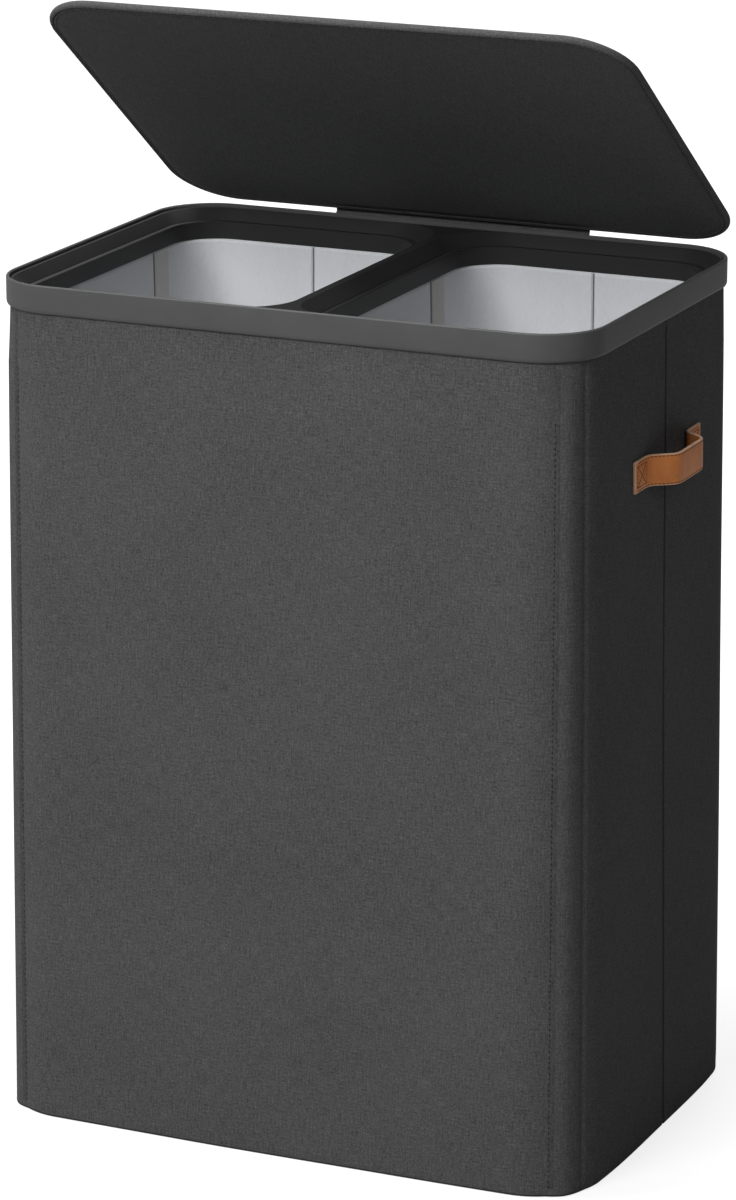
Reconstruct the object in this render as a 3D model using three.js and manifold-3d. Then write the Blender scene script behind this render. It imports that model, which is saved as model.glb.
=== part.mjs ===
// Laundry hamper with two lift-out liner bags, a moulded rim and a hinged flat lid.
// Units are millimetres, +Z is up, the front faces -Y and the origin is the centre of the foot print.
import * as THREE from 'three';
import { mergeVertices } from 'three/addons/utils/BufferGeometryUtils.js';
import Module from 'manifold-3d';

const wasm = await Module();
wasm.setup();

// General clearances and arc fineness
const clearance = 0.3;
const overrun = 5;
const cornerSteps = 10;

// Moulded rim
const rimWidth = 560;
const rimDepth = 395;
const rimCornerRadius = 57;
const rimTop = 767.5;
const rimSkirtHeight = 25.5;
const rimWall = 3;
const rimEdgeRadius = 1.2;
const rimLipHeight = 3.5;
const rimLipDepth = 10;
const rimWebThickness = 2.5;
const rimInnerWallDrop = 8;

// Fabric sleeve, which flares a little towards the floor
const sleeveThickness = 1.5;
const floorWidth = 569;
const floorDepth = 404.5;
const floorCornerRadius = 64;
const foldGrooveDepth = 0.8;
const foldGrooveWidth = 2.4;
const foldBehindMiddle = 6.5;
const stitchGrooveDepth = 0.7;
const stitchGrooveWidth = 2.6;
const footRadius = 2.5;

// Stiffening boards behind the sleeve
const boardThickness = 3;
const frontStitchAngle = 33;
const sideStitchAngle = 28;
const boardStitchGap = 2;
const boardFoldGap = 3;
const baseBoardThickness = 4;

// Tray that drops into the rim and holds both liner bags
const trayFlangeGap = 0.6;
const trayCrestHeight = 6.4;
const trayCrestWidth = 3.2;
const trayCrestRadius = 1;
const traySlopeDrop = 9.9;
const trayDepth = 16.4;
const dividerCrestWidth = 8;
const dividerWall = 2.6;

// Liner bags and the rings that hang them
const openingInset = 20.5;
const dividerWidth = 45;
const openingCornerRadius = 43;
const ringWall = 2;
const ringHeight = 16;
const ringLipWidth = 5.2;
const ringLipThickness = 2.2;
const bagThickness = 1.5;
const bagFloorNarrowing = 6;
const bagFloorToBoards = 24;
const bagFootRadius = 14;

// Carrying handles
const handleHeight = 28;
const handleBelowRim = 123;
const handleLength = 157;
const handleFlapLength = 29;
const handleRiseLength = 22;
const handleBow = 22;
const handleThickness = 3;
const handleEdge = 0.6;
const handleSteps = 6;

// Lid
const lidInset = 3.8;
const lidCornerRadius = 57;
const lidThickness = 7;
const lidSeatGap = 0.5;
const lidBindingWidth = 6;
const lidClothThickness = 1;
const lidBindingFold = 2.7;
const lidOpenAngle = 36.1;

// Hinge strap between the rim's back and the lid
const hingeWidth = 252;
const strapThickness = 1.2;
const hingeAxisBehindRim = 3;
const hingeAxisBelowTop = 13;
const rivetCount = 4;
const rivetHeadRadius = 3.2;
const rivetShankRadius = 1.5;
const rivetHeadThickness = 0.9;
const rivetEdgeMargin = 20;
const rivetSides = 16;

// Heights and places that follow from the sizes above
const rimBottom = rimTop - rimSkirtHeight;
const rimWebTop = rimTop - rimLipDepth;
const rimWebBottom = rimWebTop - rimWebThickness;
const channelWidth = sleeveThickness + boardThickness + 3 * clearance;
const rimInnerWallOuter = rimWall + channelWidth;
const rimInnerWallInner = rimInnerWallOuter + rimWall;
const sleeveTop = rimWebBottom - clearance;
const sleeveInset = rimWall + clearance;
const boardBottom = sleeveThickness + clearance;
const boardOffset = sleeveThickness + clearance;
const handleCentreHeight = rimBottom - handleBelowRim;
const crestTop = rimWebTop + clearance + trayCrestHeight;
const ringTop = crestTop - traySlopeDrop - clearance;
const ringBottom = ringTop - ringHeight;
const trayShelfTop = ringTop - ringLipThickness - clearance;
const trayBottom = crestTop - trayDepth;
const openingWidth = rimWidth / 2 - openingInset - dividerWidth / 2;
const openingDepth = rimDepth - 2 * openingInset;
const openingCentre = dividerWidth / 2 + openingWidth / 2;
const lidWidth = rimWidth - 2 * lidInset;
const lidDepth = rimDepth - 2 * lidInset;
const lidBottom = rimTop + lidSeatGap;
const hingeAxisY = rimDepth / 2 + hingeAxisBehindRim;
const hingeAxisZ = rimTop - hingeAxisBelowTop;
const degree = Math.PI / 180;

// Finishes
const rimPlastic = { color: 0x4a4a4b, roughness: 0.45, metalness: 0 };
const trayPlastic = { color: 0x303031, roughness: 0.45, metalness: 0 };
const charcoalCloth = { color: 0x505051, roughness: 0.95, metalness: 0 };
const lidCloth = { color: 0x4d4d4e, roughness: 0.95, metalness: 0 };
const liningCloth = { color: 0xdddee1, roughness: 0.9, metalness: 0 };
const greyBoard = { color: 0x8f8b84, roughness: 0.85, metalness: 0 };
const leather = { color: 0xce854f, roughness: 0.55, metalness: 0 };

// A closed body from rings of equally many points; the ends are capped, or join when looped is true
function loft(rings, looped = false) {
  const count = rings[0].length;
  const positions = rings.flat().flatMap((point) => [point.x, point.y, point.z]);
  const triangles = [];
  const bands = looped ? rings.length : rings.length - 1;
  for (let band = 0; band < bands; band += 1) {
    const low = band * count;
    const high = ((band + 1) % rings.length) * count;
    for (let k = 0; k < count; k += 1) {
      const next = (k + 1) % count;
      triangles.push(low + k, low + next, high + next, low + k, high + next, high + k);
    }
  }
  if (!looped) {
    addCap(triangles, rings[0], 0, true);
    addCap(triangles, rings[rings.length - 1], (rings.length - 1) * count, false);
  }
  return outwardGeometry(positions, triangles);
}

// The triangles that close one end ring, as seen from above
function addCap(triangles, ring, first, reversed) {
  const contour = ring.map((point) => new THREE.Vector2(point.x, point.y));
  const flipped = THREE.ShapeUtils.isClockWise(contour) !== reversed;
  for (const [a, b, c] of THREE.ShapeUtils.triangulateShape(contour, [])) {
    triangles.push(first + a, first + (flipped ? c : b), first + (flipped ? b : c));
  }
}

// An indexed geometry whose faces point out of the body
function outwardGeometry(positions, triangles) {
  let volume = 0;
  const corner = (index) => new THREE.Vector3().fromArray(positions, 3 * index);
  for (let k = 0; k < triangles.length; k += 3) {
    const [a, b, c] = [corner(triangles[k]), corner(triangles[k + 1]), corner(triangles[k + 2])];
    volume += a.dot(b.cross(c));
  }
  if (volume < 0) {
    triangles.reverse();
  }
  const geometry = new THREE.BufferGeometry();
  geometry.setAttribute('position', new THREE.Float32BufferAttribute(positions, 3));
  geometry.setIndex(triangles);
  return geometry;
}

// Even stops round a corner, as [degrees, depth below the arc]
const evenStops = Array.from({ length: cornerSteps + 1 }, (_, k) => [90 * k / cornerSteps, 0]);

// The same stops counted from a corner's other end
function mirrored(stops) {
  return stops.map(([turn, depth]) => [90 - turn, depth]).reverse();
}

// The points of a rounded rectangle at one height, with the stops given in every corner; a fold depth adds a
// groove of that depth at the fold of the left and right walls
function outline(size, height, centreX = 0, stops = evenStops, foldDepth = 0) {
  const points = [];
  const spanX = size.width / 2 - size.radius;
  const spanY = size.depth / 2 - size.radius;
  const corners = [[spanX, spanY], [-spanX, spanY], [-spanX, -spanY], [spanX, -spanY]];
  corners.forEach(([x, y], quarter) => {
    for (const [turn, depth] of quarter % 2 === 0 ? stops : mirrored(stops)) {
      const angle = (90 * quarter + turn) * degree;
      const radius = size.radius - depth;
      points.push(new THREE.Vector3(
        centreX + x + radius * Math.cos(angle), y + radius * Math.sin(angle), height));
    }
    if (foldDepth > 0 && quarter % 2 === 1) {
      points.push(...foldPoints(quarter === 1 ? -1 : 1, size.width / 2, foldDepth, height));
    }
  });
  return points;
}

// The three points of a fold groove on the left (side -1) or right (side 1) wall
function foldPoints(side, halfWidth, depth, height) {
  const half = foldGrooveWidth / 2;
  return [[halfWidth, -half], [halfWidth - depth, 0], [halfWidth, half]].map(
    ([x, y]) => new THREE.Vector3(side * x, foldBehindMiddle + side * y, height));
}

// A rounded rectangle drawn in by a distance on every side
function inset(size, distance) {
  return {
    width: size.width - 2 * distance,
    depth: size.depth - 2 * distance,
    radius: size.radius - distance,
  };
}

// A section of the inset and height given, carried once round a rounded rectangle
function sweptRing(size, section, centreX = 0) {
  return loft(section.map(([distance, height]) => outline(inset(size, distance), height, centreX)), true);
}

// The outside of the sleeve at a height
function sleeveSize(height) {
  const share = height / sleeveTop;
  const blend = (low, high) => low + (high - low) * share;
  return {
    width: blend(floorWidth, rimWidth - 2 * sleeveInset),
    depth: blend(floorDepth, rimDepth - 2 * sleeveInset),
    radius: blend(floorCornerRadius, rimCornerRadius - sleeveInset),
  };
}

// Turns a closed geometry into a solid for cutting and joining
function toSolid(geometry) {
  const source = geometry.clone();
  source.deleteAttribute('normal');
  source.deleteAttribute('uv');
  const merged = mergeVertices(source);
  const vertProperties = new Float32Array(merged.attributes.position.array);
  const triVerts = new Uint32Array(merged.index.array);
  return new wasm.Manifold(new wasm.Mesh({ numProp: 3, vertProperties, triVerts }));
}

// Turns a solid back into a geometry
function toGeometry(solid) {
  const mesh = solid.getMesh();
  const geometry = new THREE.BufferGeometry();
  geometry.setAttribute('position', new THREE.Float32BufferAttribute(mesh.vertProperties, 3));
  geometry.setIndex(Array.from(mesh.triVerts));
  return geometry;
}

// A flat section in Y and Z, extruded across X between two places
function acrossX(section, from, to) {
  const shape = new THREE.Shape(section.map(([y, z]) => new THREE.Vector2(y, z)));
  const geometry = new THREE.ExtrudeGeometry(shape, { depth: to - from, bevelEnabled: false });
  geometry.applyMatrix4(new THREE.Matrix4().makeBasis(
    new THREE.Vector3(0, 1, 0), new THREE.Vector3(0, 0, 1), new THREE.Vector3(1, 0, 0)));
  return geometry.translate(from, 0, 0);
}

// A named piece with its own finish
function piece(name, geometry, finish) {
  const mesh = new THREE.Mesh(geometry, new THREE.MeshStandardMaterial(finish));
  mesh.name = name;
  return mesh;
}

// Rim

// The rim's section: an outer skirt with a rounded lip, a web that the tray rests on and an inner wall
function rimSection() {
  const edge = rimEdgeRadius;
  const crown = [150, 120, 90, 60, 30].map((angle) => [
    rimWall / 2 + edge * Math.cos(angle * degree), rimTop - edge + edge * Math.sin(angle * degree)]);
  const lipInset = rimWall * 3 / 4;
  const lip = [90, 60, 30, 0].map((angle) => [
    lipInset * (1 - Math.cos(angle * degree)), rimBottom + rimLipHeight * (1 - Math.sin(angle * degree))]);
  return [
    ...lip,
    [0, rimTop - edge],
    ...crown,
    [rimWall, rimTop - edge],
    [rimWall, rimWebTop],
    [rimInnerWallInner, rimWebTop],
    [rimInnerWallInner, rimWebBottom - rimInnerWallDrop],
    [rimInnerWallOuter, rimWebBottom - rimInnerWallDrop],
    [rimInnerWallOuter, rimWebBottom],
    [rimWall, rimWebBottom],
    [rimWall, rimBottom],
  ];
}

// The middles of the rivets along the hinge strap
function rivetPlaces() {
  const span = hingeWidth / 2 - rivetEdgeMargin;
  return Array.from({ length: rivetCount }, (_, k) => -span + 2 * span * k / (rivetCount - 1));
}

const rivetHeight = (rimBottom + hingeAxisZ) / 2;

// A bore along Y, from the rim's back through the strap
function rivetBore(x, radius, from, to) {
  const bore = new THREE.CylinderGeometry(radius, radius, to - from, rivetSides);
  return toSolid(bore.translate(x, (from + to) / 2, rivetHeight));
}

function makeRim() {
  const size = { width: rimWidth, depth: rimDepth, radius: rimCornerRadius };
  let solid = toSolid(sweptRing(size, rimSection()));
  const back = rimDepth / 2;
  const front = back - rimWall * 3 / 2;
  for (const x of rivetPlaces()) {
    solid = solid.subtract(rivetBore(x, rivetShankRadius + clearance, front, back + overrun));
  }
  return piece('rim_frame', toGeometry(solid), rimPlastic);
}

// Tray

// The crest outline round one recess: its outer edges follow the rim, its inner edge the divider
function crestOutline(side, height) {
  const outer = rimWidth / 2 - rimWall - trayFlangeGap - trayCrestWidth;
  const inner = dividerCrestWidth / 2;
  const depth = rimDepth - 2 * (rimWall + trayFlangeGap + trayCrestWidth);
  const size = { width: outer - inner, depth, radius: openingCornerRadius + ringLipWidth };
  return outline(size, height, side * (outer + inner) / 2);
}

// The space of one recess: a sloping mouth, a seat for the ring's lip and the opening itself
function recessSolid(side) {
  const opening = { width: openingWidth, depth: openingDepth, radius: openingCornerRadius };
  const seat = outline(inset(opening, -ringLipWidth - clearance), 0, side * openingCentre);
  const hole = outline(inset(opening, -ringWall - clearance), 0, side * openingCentre);
  const at = (ring, height) => ring.map((point) => new THREE.Vector3(point.x, point.y, height));
  const mouth = loft([
    at(seat, trayShelfTop),
    at(seat, ringTop + clearance),
    crestOutline(side, crestTop),
    crestOutline(side, crestTop + overrun),
  ]);
  const shaft = loft([at(hole, trayBottom - overrun), at(hole, crestTop)]);
  return toSolid(mouth).add(toSolid(shaft));
}

// The hollow under the divider, between the two rings
function dividerHollow() {
  const foot = dividerWidth / 2 - ringLipWidth - clearance - dividerWall;
  const head = Math.max(dividerCrestWidth / 2 - dividerWall, dividerWall / 2);
  const length = openingDepth + 2 * ringWall;
  const top = crestTop - dividerWall * 3 / 2;
  const section = [[-foot, trayBottom - overrun], [foot, trayBottom - overrun],
    [foot, ringTop - dividerWall], [head, top], [-head, top], [-foot, ringTop - dividerWall]];
  const shape = new THREE.Shape(section.map(([x, z]) => new THREE.Vector2(x, z)));
  const geometry = new THREE.ExtrudeGeometry(shape, { depth: length, bevelEnabled: false });
  return toSolid(geometry.rotateX(90 * degree).translate(0, length / 2, 0));
}

function makeTray() {
  const size = { width: rimWidth, depth: rimDepth, radius: rimCornerRadius };
  const edge = rimWall + trayFlangeGap;
  const neck = rimInnerWallInner + clearance;
  const flangeBottom = rimWebTop + clearance;
  let solid = toSolid(loft([
    outline(inset(size, neck), trayBottom),
    outline(inset(size, neck), flangeBottom),
    outline(inset(size, edge), flangeBottom),
    outline(inset(size, edge), crestTop - trayCrestRadius),
    outline(inset(size, edge + trayCrestRadius), crestTop),
  ]));
  solid = solid.subtract(recessSolid(-1)).subtract(recessSolid(1)).subtract(dividerHollow());
  return piece('bag_tray', toGeometry(solid), trayPlastic);
}

// Liner bags

// The ring that a liner bag hangs from: a wall with a lip that rests in the tray
function makeRing(name, side) {
  const opening = { width: openingWidth, depth: openingDepth, radius: openingCornerRadius };
  const round = ringWall / 4;
  const section = [
    [0, ringBottom],
    [0, ringTop - round],
    [-round, ringTop],
    [-ringLipWidth, ringTop],
    [-ringLipWidth, ringTop - ringLipThickness],
    [-ringWall, ringTop - ringLipThickness],
    [-ringWall, ringBottom],
  ];
  return piece(name, sweptRing(opening, section, side * openingCentre), trayPlastic);
}

// The bag's outside at a share of its height: it hangs from its ring and keeps clear of the boards
function bagSize(share) {
  const room = inset(sleeveSize(0), boardOffset + boardThickness + bagFloorToBoards);
  const blend = (low, high) => low + (high - low) * share;
  const near = dividerWidth / 2 - ringWall + blend(bagFloorNarrowing, 0);
  const far = blend(room.width / 2, openingCentre + openingWidth / 2 + ringWall);
  return {
    centre: (near + far) / 2,
    width: far - near,
    depth: blend(room.depth, openingDepth + 2 * ringWall),
    radius: blend(room.radius, openingCornerRadius + ringWall),
  };
}

function makeBag(name, side) {
  const floor = boardBottom + baseBoardThickness + clearance;
  const top = ringBottom - clearance;
  const ring = (z, distance) => {
    const size = bagSize((z - floor) / (top - floor));
    return outline(inset(size, distance), z, side * size.centre);
  };
  const foot = bagFootRadius * (1 - Math.SQRT1_2);
  const wall = bagThickness;
  return piece(name, loft([
    ring(floor, bagFootRadius),
    ring(floor + foot, foot),
    ring(floor + bagFootRadius, 0),
    ring(top, 0),
    ring(top, wall),
    ring(floor + bagFootRadius, wall),
    ring(floor + foot + wall, foot + wall),
    ring(floor + wall, bagFootRadius + wall),
  ]), liningCloth);
}

// Sleeve and boards

// Stops round a sleeve corner, from its side wall: stitching draws the cloth in where the boards end
function stitchStops(depth) {
  const half = stitchGrooveWidth / 2 / floorCornerRadius / degree;
  const lines = [sideStitchAngle, 90 - frontStitchAngle];
  const clear = evenStops.filter(([turn]) => lines.every((line) => Math.abs(turn - line) > half));
  const grooves = lines.flatMap((line) => [[line - half, 0], [line, depth], [line + half, 0]]);
  return [...clear, ...grooves].sort(([a], [b]) => a - b);
}

function makeSleeve() {
  const ring = (z, distance, depthShare) => {
    const stops = stitchStops(stitchGrooveDepth * depthShare);
    return outline(inset(sleeveSize(z), distance), z, 0, stops, foldGrooveDepth * depthShare);
  };
  const inner = sleeveThickness;
  const innerShare = 0.5;
  return piece('fabric_sleeve', loft([
    ring(0, footRadius, 1),
    ring(footRadius / 2, footRadius / 4, 1),
    ring(footRadius * 3 / 2, 0, 1),
    ring(sleeveTop, 0, 1),
    ring(sleeveTop, inner, innerShare),
    ring(inner, inner, innerShare),
  ]), charcoalCloth);
}

// A stretch of the sleeve's lining side at one height: the wall that faces an angle, with part of the
// corner arcs at its two ends; a reach of zero ends the wall at its fold
function wallPath(height, distance, facing, startReach, endReach) {
  const size = inset(sleeveSize(height), distance);
  const along = facing % 180 === 0 ? size.depth / 2 - size.radius : size.width / 2 - size.radius;
  const out = facing % 180 === 0 ? size.width / 2 - size.radius : size.depth / 2 - size.radius;
  const points = [];
  const place = (shift, angle) => {
    const local = new THREE.Vector2(out, shift);
    local.add(new THREE.Vector2(size.radius * Math.cos(angle), size.radius * Math.sin(angle)));
    local.rotateAround(new THREE.Vector2(), facing * degree);
    points.push(new THREE.Vector3(local.x, local.y, height));
  };
  const steps = cornerSteps / 2;
  const fold = foldBehindMiddle * Math.cos(facing * degree);
  const sweep = (reach, shift, from) => {
    if (reach === 0) {
      place(fold - Math.sign(shift) * boardFoldGap / 2, 0);
      return;
    }
    const usable = reach * degree - boardStitchGap / 2 / size.radius;
    for (let k = 0; k <= steps; k += 1) {
      place(shift, from === 'start' ? -usable * (1 - k / steps) : usable * k / steps);
    }
  };
  sweep(startReach, -along, 'start');
  sweep(endReach, along, 'end');
  return points;
}

// A bent board that stands behind the sleeve
function makeBoard(name, facing, startReach, endReach) {
  const ring = (height) => [
    ...wallPath(height, boardOffset, facing, startReach, endReach),
    ...wallPath(height, boardOffset + boardThickness, facing, startReach, endReach).reverse(),
  ];
  return piece(name, loft([ring(boardBottom), ring(sleeveTop)]), greyBoard);
}

function makeBoards() {
  return [
    makeBoard('front_board', 270, frontStitchAngle, frontStitchAngle),
    makeBoard('back_board', 90, frontStitchAngle, frontStitchAngle),
    makeBoard('side_board_right_front', 0, sideStitchAngle, 0),
    makeBoard('side_board_right_rear', 0, 0, sideStitchAngle),
    makeBoard('side_board_left_rear', 180, sideStitchAngle, 0),
    makeBoard('side_board_left_front', 180, 0, sideStitchAngle),
  ];
}

function makeBaseBoard() {
  const size = inset(sleeveSize(0), boardOffset + boardThickness + footRadius);
  const top = boardBottom + baseBoardThickness;
  return piece('base_board', loft([outline(size, boardBottom), outline(size, top)]), greyBoard);
}

// Handles

// Half of the strap's middle line, from its end to the middle of the bow
function handlePath() {
  const half = handleLength / 2;
  const points = [[handleThickness / 2, half]];
  const start = half - handleFlapLength;
  for (let k = 0; k <= handleSteps; k += 1) {
    const share = k / handleSteps;
    const rise = handleBow * (1 - Math.cos(Math.PI * share)) / 2;
    points.push([handleThickness / 2 + rise, start - handleRiseLength * share]);
  }
  return points;
}

// The closed outline of the strap from above, at a distance to both sides of its middle line
function handleOutline(distance) {
  const half = handlePath();
  const path = [...half, ...half.map(([x, y]) => [x, -y]).reverse()];
  const outer = [];
  const inner = [];
  path.forEach(([x, y], k) => {
    const before = path[Math.max(k - 1, 0)];
    const after = path[Math.min(k + 1, path.length - 1)];
    const run = new THREE.Vector2(after[0] - before[0], after[1] - before[1]).normalize();
    const normal = new THREE.Vector2(-run.y, run.x).multiplyScalar(distance);
    outer.push([x + normal.x, y + normal.y]);
    inner.push([x - normal.x, y - normal.y]);
  });
  return [...outer, ...inner.reverse()];
}

function makeHandle(name, side) {
  const ring = (height, distance) => handleOutline(distance).map(([x, y]) => new THREE.Vector3(
    side * (sleeveSize(height).width / 2 + clearance + x), foldBehindMiddle + y, height));
  const low = handleCentreHeight - handleHeight / 2;
  const high = handleCentreHeight + handleHeight / 2;
  const full = handleThickness / 2;
  const edge = handleEdge;
  return piece(name, loft([
    ring(low, full - edge),
    ring(low + edge, full),
    ring(high - edge, full),
    ring(high, full - edge),
  ]), leather);
}

// Hinge

// Where a point of the closed lid lies behind and above the hinge axis
const lidBackEdge = lidDepth / 2 - hingeAxisY;
const lidUnderside = lidBottom - hingeAxisZ;

// The half of the strap that is riveted to the rim and turns out to the fold at the axis
function makeStrapLower() {
  const front = rimDepth / 2 + clearance;
  const back = front + strapThickness;
  const top = hingeAxisZ - clearance / 2;
  const section = [[front, rimBottom], [back, rimBottom], [back, top - strapThickness],
    [hingeAxisY - clearance, top - strapThickness], [hingeAxisY - clearance, top], [front, top]];
  let solid = toSolid(acrossX(section, -hingeWidth / 2, hingeWidth / 2));
  for (const x of rivetPlaces()) {
    solid = solid.subtract(rivetBore(x, rivetShankRadius + clearance, front - overrun, front + overrun));
  }
  return piece('hinge_strap_lower', toGeometry(solid), lidCloth);
}

// The half of the strap that is sewn to the lid's back edge, in the closed lid's place about the axis:
// it climbs behind the rim and turns in over the rim's top to the middle of the edge
function makeStrapUpper() {
  const front = 2 * clearance - hingeAxisBehindRim;
  const back = front + strapThickness;
  const top = lidUnderside + lidThickness / 2;
  const bend = strapThickness / 2;
  const foot = clearance / 2;
  const section = [
    [front, foot],
    [front, top - strapThickness - bend],
    [front - bend, top - strapThickness],
    [lidBackEdge + clearance, top - strapThickness],
    [lidBackEdge + clearance, top],
    [back - 2 * bend, top],
    [back, top - 2 * bend],
    [back, foot + strapThickness],
    [0, foot + strapThickness],
    [0, foot],
  ];
  return piece('hinge_strap_upper', acrossX(section, -hingeWidth / 2, hingeWidth / 2), lidCloth);
}

function makeRivets() {
  const headBack = rimDepth / 2 + 2 * clearance + strapThickness + rivetHeadThickness;
  const headFront = headBack - rivetHeadThickness;
  const tip = rimDepth / 2 - rimWall + clearance;
  const profile = [[0, tip], [rivetShankRadius, tip], [rivetShankRadius, headFront],
    [rivetHeadRadius, headFront], [rivetHeadRadius * 3 / 4, headBack], [0, headBack]];
  return rivetPlaces().map((x, k) => {
    const points = profile.map(([radius, y]) => new THREE.Vector2(radius, y));
    const geometry = new THREE.LatheGeometry(points, rivetSides).translate(x, 0, rivetHeight);
    return piece(`hinge_rivet_${k + 1}`, geometry, rimPlastic);
  });
}

// Lid

const lidSize = { width: lidWidth, depth: lidDepth, radius: lidCornerRadius };

// A flat sheet of the lid between two heights, drawn in from the lid's edge
function lidSheet(name, distance, bottom, top, finish) {
  const size = inset(lidSize, distance);
  return piece(name, loft([outline(size, lidBottom + bottom), outline(size, lidBottom + top)]), finish);
}

// The cloth binding that is folded round the lid's edge
function makeBinding() {
  const half = lidThickness / 2;
  const round = [240, 210, 180, 150, 120].map((angle) => [
    half + half * Math.cos(angle * degree), half + half * Math.sin(angle * degree)]);
  const cloth = lidClothThickness;
  const section = [[lidBindingWidth, 0], [half, 0], ...round, [half, lidThickness],
    [lidBindingWidth, lidThickness], [lidBindingWidth, lidThickness - cloth],
    [lidBindingFold, lidThickness - cloth], [lidBindingFold, cloth], [lidBindingWidth, cloth]];
  return piece('lid_binding', sweptRing(lidSize, section.map(([x, z]) => [x, lidBottom + z])), lidCloth);
}

function makeLid() {
  const cloth = lidClothThickness;
  const coverInset = lidBindingWidth + clearance;
  const core = cloth + clearance;
  const lid = new THREE.Group();
  lid.add(lidSheet('lid_board', lidBindingFold + clearance, core, lidThickness - core, greyBoard));
  lid.add(lidSheet('lid_cover_bottom', coverInset, 0, cloth, lidCloth));
  lid.add(lidSheet('lid_cover_top', coverInset, lidThickness - cloth, lidThickness, lidCloth));
  lid.add(makeBinding());
  for (const mesh of lid.children) {
    mesh.position.set(0, -hingeAxisY, -hingeAxisZ);
  }
  lid.add(makeStrapUpper());
  lid.position.set(0, hingeAxisY, hingeAxisZ);
  lid.rotation.x = -lidOpenAngle * degree;
  return lid;
}

const hamper = new THREE.Group();
hamper.add(makeRim());
hamper.add(makeTray());
hamper.add(makeRing('bag_ring_left', -1));
hamper.add(makeRing('bag_ring_right', 1));
hamper.add(makeBag('liner_bag_left', -1));
hamper.add(makeBag('liner_bag_right', 1));
hamper.add(makeSleeve());
hamper.add(...makeBoards());
hamper.add(makeBaseBoard());
hamper.add(makeHandle('handle_left', -1));
hamper.add(makeHandle('handle_right', 1));
hamper.add(makeStrapLower());
hamper.add(...makeRivets());
hamper.add(makeLid());

export default hamper;
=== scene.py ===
import math
import bmesh
import bpy
import numpy as np
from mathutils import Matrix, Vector, noise


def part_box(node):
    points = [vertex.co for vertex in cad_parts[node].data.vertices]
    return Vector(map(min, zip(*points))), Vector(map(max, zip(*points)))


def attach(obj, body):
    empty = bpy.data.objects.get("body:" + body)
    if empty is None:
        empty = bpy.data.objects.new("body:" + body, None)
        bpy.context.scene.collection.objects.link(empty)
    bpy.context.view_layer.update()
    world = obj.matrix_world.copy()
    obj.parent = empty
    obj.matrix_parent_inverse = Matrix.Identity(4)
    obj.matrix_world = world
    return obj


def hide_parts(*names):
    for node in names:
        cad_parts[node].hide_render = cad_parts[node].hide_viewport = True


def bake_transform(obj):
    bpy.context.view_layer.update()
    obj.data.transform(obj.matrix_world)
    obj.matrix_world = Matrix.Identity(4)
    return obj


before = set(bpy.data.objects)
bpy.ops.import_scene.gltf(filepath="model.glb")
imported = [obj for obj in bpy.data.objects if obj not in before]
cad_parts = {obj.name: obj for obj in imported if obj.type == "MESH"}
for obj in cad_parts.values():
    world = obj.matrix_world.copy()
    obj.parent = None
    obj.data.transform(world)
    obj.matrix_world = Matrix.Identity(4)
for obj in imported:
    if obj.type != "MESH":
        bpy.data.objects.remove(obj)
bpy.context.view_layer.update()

# Lengths below are in millimetres unless a comment says otherwise; MM turns them into Blender's metres
MM = 0.001

# Camera, as solved from the photograph's edges
CAMERA_AZIMUTH = 24.09
CAMERA_ELEVATION = 15.89
CAMERA_DISTANCE = 4491.0
CAMERA_AIM = (-1.7, 0.0, 459.8)
FOCAL_PIXELS = 5001.0
PICTURE_HEIGHT_PIXELS = 1200.0
SENSOR = 36.0

# How near a station's normal is to an axis when it lies on a flat wall, and off both on a corner
ALMOST_ONE = 0.999
ALMOST_ZERO = 1e-6

# Sleeve
SLEEVE_STEPS = (46, 30, 24)
SLEEVE_INSET_TOP = 3.3
SLEEVE_THICKNESS = 1.3
SLEEVE_FLOOR = 1.5
FLOOR_RADIUS = 64.0
RIM_RADIUS = 57.0
STITCH_ANGLES = (33.0, 62.0)
STITCH_GROOVES = (0.6, 0.7)
STITCH_GROOVE_WIDTHS = (1.6, 2.6)
SEAM_SPREAD = (0.8, 1.6, 2.6, 4.0)
PUCKER = 0.25
PUCKER_LENGTH = 35.0
CORNER_BULGE = 3.4
BULGE_ANGLE = 45.0
BULGE_SOFTNESS = 0.22
BULGE_FADE = 50.0
RIDGE_HEIGHT = 0.6
RIDGE_REACH = 4.5
RIDGE_WIDTH = RIDGE_REACH / 1.3
SIDE_BOW = 2.5
FRONT_BOW = 2.5
BOW_TOP = 420.0
FOOT_PROFILE = ((-9.0, 0.0), (-1.6, 0.05), (-0.6, 0.45), (-0.15, 1.2), (0.0, 2.6))
# Painted contact shadow: a thin black band round the foot, as (inset, height) like the foot's profile
# above
FOOT_SHADOW_PROFILE = ((-0.9, 0.1), (-0.35, 0.35), (0.05, 1.1), (0.12, 2.1), (-0.7, 2.1))
SEAM_FADE = 14.0
STITCH_LOWEST = 9.0
STITCH_START = 50.0
STITCH_LIFT = 0.3
# Painted shade: bands of darker cloth beside the board seams at the corners
SEAM_SHADE_ANGLES = (0.0, *SEAM_SPREAD)
SEAM_SHADE_LIFT = 0.12
FOLD_BEHIND_MIDDLE = 6.5
FOLD_GROOVE = 3.4
FOLD_GROOVE_WIDTH = 1.1
FOLD_SPREAD = (0.004, 0.008, 0.016, 0.03)
FOLD_RIDGE = 0.45
FOLD_RIDGE_PLACE = 2.6
FOLD_RIDGE_WIDTH = 1.2
# Painted shade: a black strip laid in the bottom of the side walls' fold, where the groove's shadow
# falls
FOLD_SHADOW_EDGES = np.linspace(-1.2, 1.6, 7)
FOLD_SHADOW_LOWEST = 6.0
FOLD_SHADOW_BELOW_TOP = 12.0
FOLD_SHADOW_LIFT = 0.15
RIPPLE = 0.45
RIPPLE_LENGTH = 260.0
RIPPLE_SCALE = (1.7, 1.3)
RIPPLE_TURN = 0.8
ROW_STEP = 9.0
ROW_LOWEST = 8.0
SLEEVE_EDGE = 0.3
UNDER_RIM = 3.0
INNER_ROWS = (0.66, 0.33)

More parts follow.
